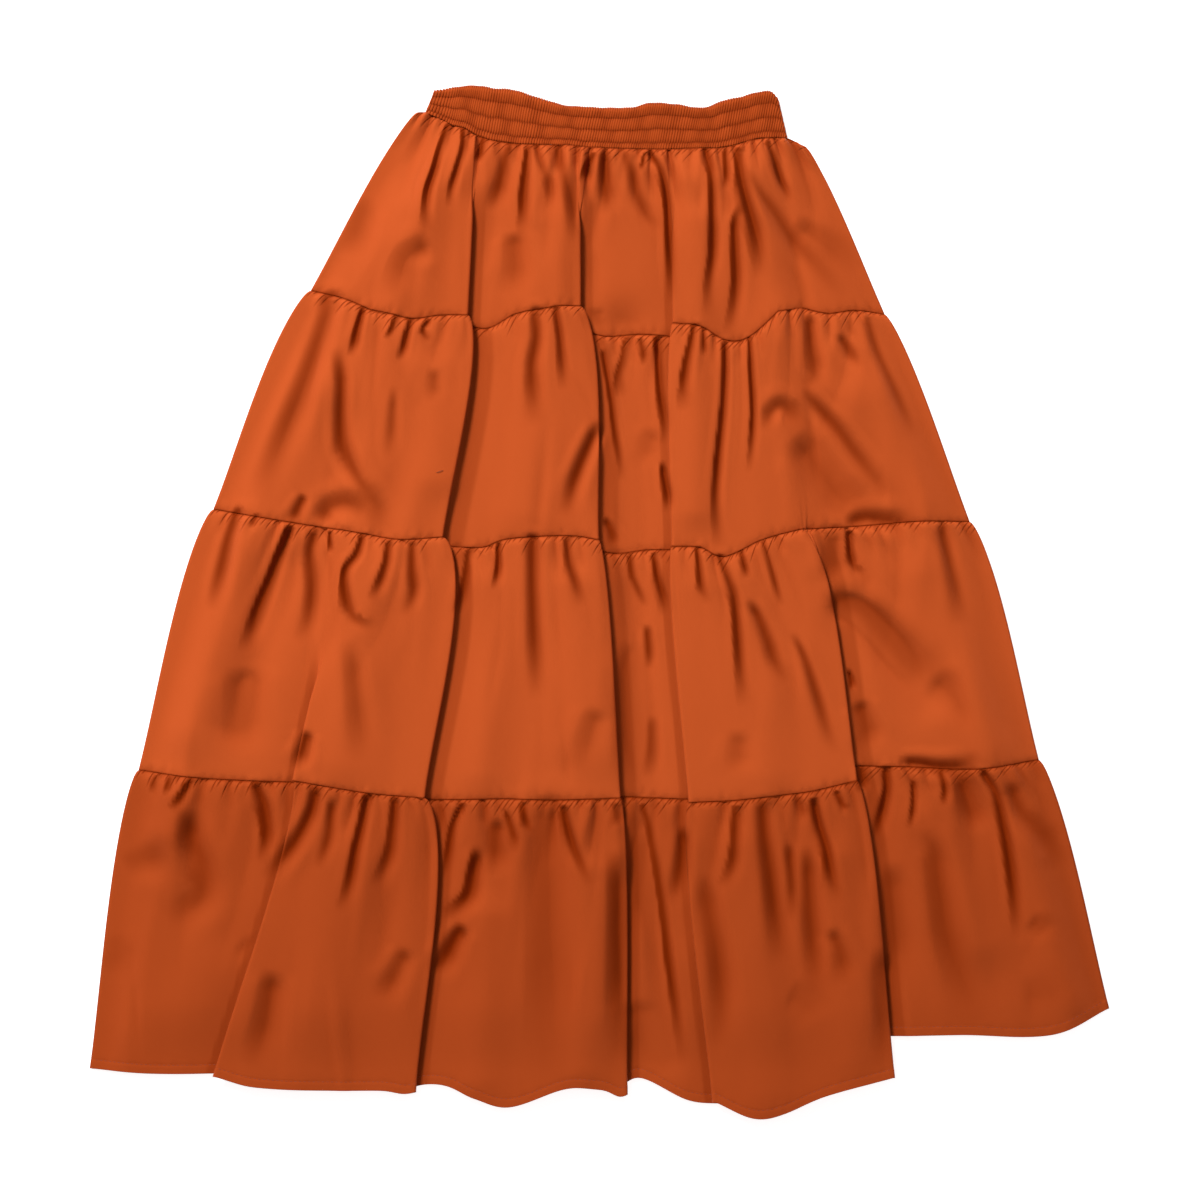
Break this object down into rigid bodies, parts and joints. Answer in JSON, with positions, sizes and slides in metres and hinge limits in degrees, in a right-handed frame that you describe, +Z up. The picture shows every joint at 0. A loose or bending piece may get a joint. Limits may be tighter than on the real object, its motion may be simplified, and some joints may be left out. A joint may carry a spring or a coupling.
{
  "type": "tiered ruffle skirt",
  "caption": "Long tiered ruffle skirt with a wide elastic waistband, laid flat with its front up and its gathered tiers spread in soft lengthwise folds.",
  "frame": {"origin": "bottom centre of the skirt's bounding box, on the surface that it lies on", "axes": "+Z up from the surface through the front of the skirt, +Y from hem to waist, +X to the right of someone looking down at the front with the waist at the top"},
  "size_m": [0.899, 0.9065, 0.0127],
  "materials": {
    "rust_cloth": "soft satin-faced woven cloth, slightly lustrous, rust orange",
    "rust_waistband": "the same cloth shirred over wide elastic, with rows of stitching"
  },
  "bodies": {
    "root": {"waistband_front": "rust_waistband", "waistband_back": "rust_waistband", "tier_1_front": "rust_cloth", "tier_1_back": "rust_cloth", "tier_2_front": "rust_cloth", "tier_2_back": "rust_cloth", "tier_3_front": "rust_cloth", "tier_3_back": "rust_cloth", "tier_4_front": "rust_cloth", "tier_4_back": "rust_cloth"}
  },
  "joints": []
}
